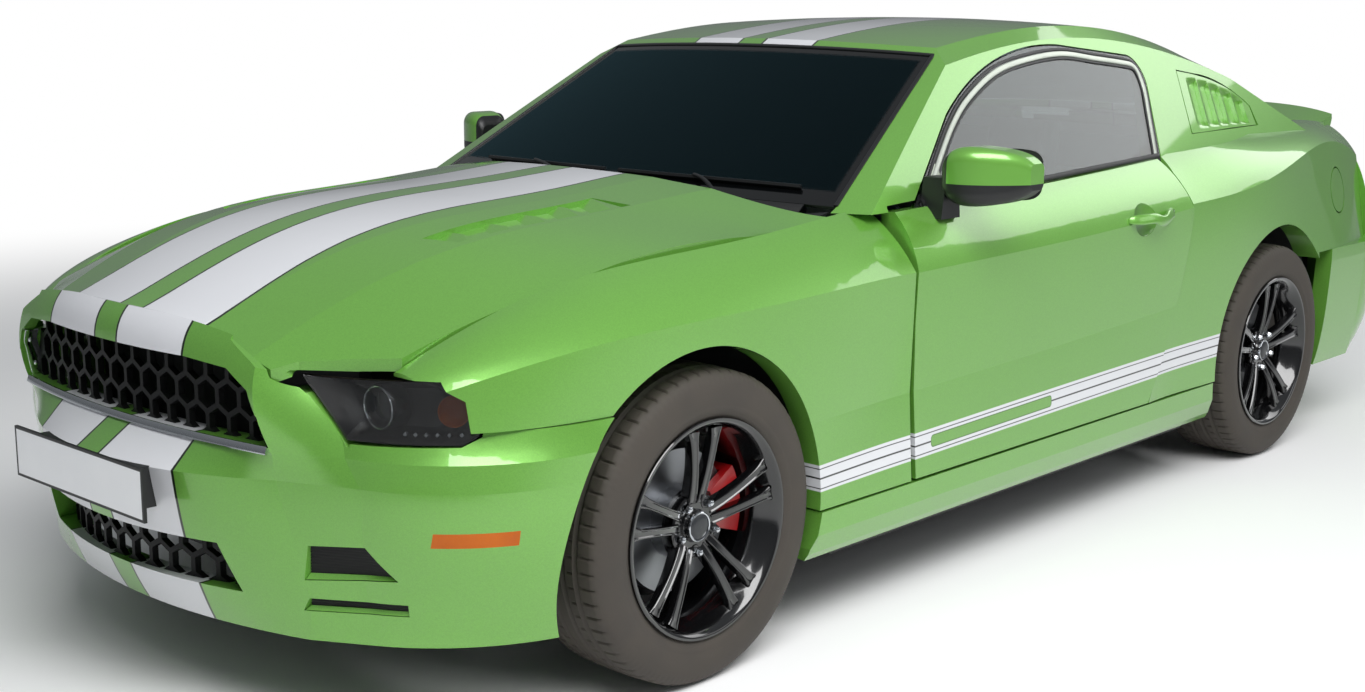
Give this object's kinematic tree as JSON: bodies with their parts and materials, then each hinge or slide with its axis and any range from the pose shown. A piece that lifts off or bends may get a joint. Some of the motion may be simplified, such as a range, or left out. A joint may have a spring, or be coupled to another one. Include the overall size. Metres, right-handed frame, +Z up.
{
  "type": "muscle car",
  "caption": "Two-door muscle coupe with long louvred hood, honeycomb grille, fastback roof with quarter louvres, deck spoiler and split-spoke wheels that steer and roll.",
  "frame": {"origin": "on the ground, in the middle of the overall length and width", "axes": "+X to the nose, +Y to the left side, +Z up"},
  "size_m": [4.7877, 2.068, 1.4047],
  "materials": {
    "green_paint": "gloss",
    "dark_trim": "satin",
    "clear_glass": "gloss",
    "tinted_glass": "gloss",
    "lamp_glass": "gloss",
    "red_lens": "gloss",
    "amber_lens": "gloss",
    "tyre_rubber": "matt",
    "black_rim": "gloss",
    "bare_steel": "machined",
    "red_caliper": "gloss",
    "chassis_black": "satin",
    "cast_metal": "matt",
    "cabin_plastic": "grained",
    "seat_leather": "satin",
    "exhaust_steel": "satin",
    "plate_white": "satin",
    "tank_black": "matt"
  },
  "bodies": {
    "car_body": {"floor_pan": "chassis_black", "front_structure": "chassis_black", "rear_structure": "chassis_black", "side_frame_left": "green_paint", "side_frame_right": "green_paint", "roof": "green_paint", "fender_left": "green_paint", "fender_right": "green_paint", "front_bumper": "green_paint", "rear_bumper": "green_paint", "tail_panel": "green_paint", "windshield": "clear_glass", "rear_window": "tinted_glass", "quarter_louvres": "green_paint", "grilles": "dark_trim", "headlamps": "lamp_glass", "tail_lamps": "red_lens", "side_markers_front": "amber_lens", "side_markers_rear": "red_lens", "dashboard": "cabin_plastic", "seats": "seat_leather", "powertrain": "cast_metal", "exhaust": "exhaust_steel", "rear_axle": "cast_metal", "fuel_tank": "tank_black", "front_subframe": "chassis_black", "wiper_cowl": "dark_trim", "number_plate": "plate_white", "sill_mouldings": "green_paint"},
    "hood_lid": {"hood": "green_paint"},
    "deck_lid": {"trunk_lid": "green_paint", "spoiler": "green_paint"},
    "left_door": {"door_left": "green_paint", "door_glass_left": "tinted_glass", "mirror_left": "green_paint"},
    "right_door": {"door_right": "green_paint", "door_glass_right": "tinted_glass", "mirror_right": "green_paint"},
    "filler_flap": {"fuel_flap": "green_paint"},
    "left_knuckle": {"knuckle_left": "cast_metal", "caliper_left": "red_caliper"},
    "right_knuckle": {"knuckle_right": "cast_metal", "caliper_right": "red_caliper"},
    "driver_wheel": {"steering_wheel": "cabin_plastic"},
    "wheel_front_left": {"tyre_front_left": "tyre_rubber", "rim_front_left": "black_rim", "brake_disc_front_left": "bare_steel"},
    "wheel_front_right": {"tyre_front_right": "tyre_rubber", "rim_front_right": "black_rim", "brake_disc_front_right": "bare_steel"},
    "wheel_rear_left": {"tyre_rear_left": "tyre_rubber", "rim_rear_left": "black_rim", "brake_disc_rear_left": "bare_steel"},
    "wheel_rear_right": {"tyre_rear_right": "tyre_rubber", "rim_rear_right": "black_rim", "brake_disc_rear_right": "bare_steel"}
  },
  "joints": [
    {"name": "steer_left", "type": "hinge", "parent": "car_body", "child": "left_knuckle", "pos_m": [1.439, 0.7, 0.199], "axis": [0, 0, 1], "range_deg": [-34, 34]},
    {"name": "steer_right", "type": "hinge", "parent": "car_body", "child": "right_knuckle", "pos_m": [1.439, -0.7, 0.199], "axis": [0, 0, 1], "range_deg": [-34, 34]},
    {"name": "steering_wheel_turn", "type": "hinge", "parent": "car_body", "child": "driver_wheel", "pos_m": [0.262, 0.372, 0.812], "axis": [-0.9135, 0, 0.4067], "range_deg": [-510, 510]},
    {"name": "wheel_front_left_spin", "type": "hinge", "parent": "left_knuckle", "child": "wheel_front_left", "pos_m": [1.439, 0.785, 0.346], "axis": [0, 1, 0], "continuous": true},
    {"name": "wheel_rear_left_spin", "type": "hinge", "parent": "car_body", "child": "wheel_rear_left", "pos_m": [-1.281, 0.794, 0.346], "axis": [0, 1, 0], "continuous": true},
    {"name": "wheel_front_right_spin", "type": "hinge", "parent": "right_knuckle", "child": "wheel_front_right", "pos_m": [1.439, -0.785, 0.346], "axis": [0, 1, 0], "continuous": true},
    {"name": "wheel_rear_right_spin", "type": "hinge", "parent": "car_body", "child": "wheel_rear_right", "pos_m": [-1.281, -0.794, 0.346], "axis": [0, 1, 0], "continuous": true},
    {"name": "door_left_hinge", "type": "hinge", "parent": "car_body", "child": "left_door", "pos_m": [0.7, 0.918, 0.6], "axis": [0, 0, -1], "range_deg": [0, 65]},
    {"name": "door_right_hinge", "type": "hinge", "parent": "car_body", "child": "right_door", "pos_m": [0.7, -0.918, 0.6], "axis": [0, 0, 1], "range_deg": [0, 65]},
    {"name": "hood_hinge", "type": "hinge", "parent": "car_body", "child": "hood_lid", "pos_m": [0.78, 0, 0.94], "axis": [0, -1, 0], "range_deg": [0, 55]},
    {"name": "trunk_hinge", "type": "hinge", "parent": "car_body", "child": "deck_lid", "pos_m": [-1.7, 0, 1.083], "axis": [0, 1, 0], "range_deg": [0, 80]},
    {"name": "fuel_flap_hinge", "type": "hinge", "parent": "car_body", "child": "filler_flap", "pos_m": [-1.74, 0.8745, 0.828], "axis": [0, 0, -1], "range_deg": [0, 100]}
  ],
  "couplings": [
    {"joint": "steer_right", "follows": "steer_left", "ratio": 1},
    {"joint": "steering_wheel_turn", "follows": "steer_left", "ratio": 15}
  ]
}
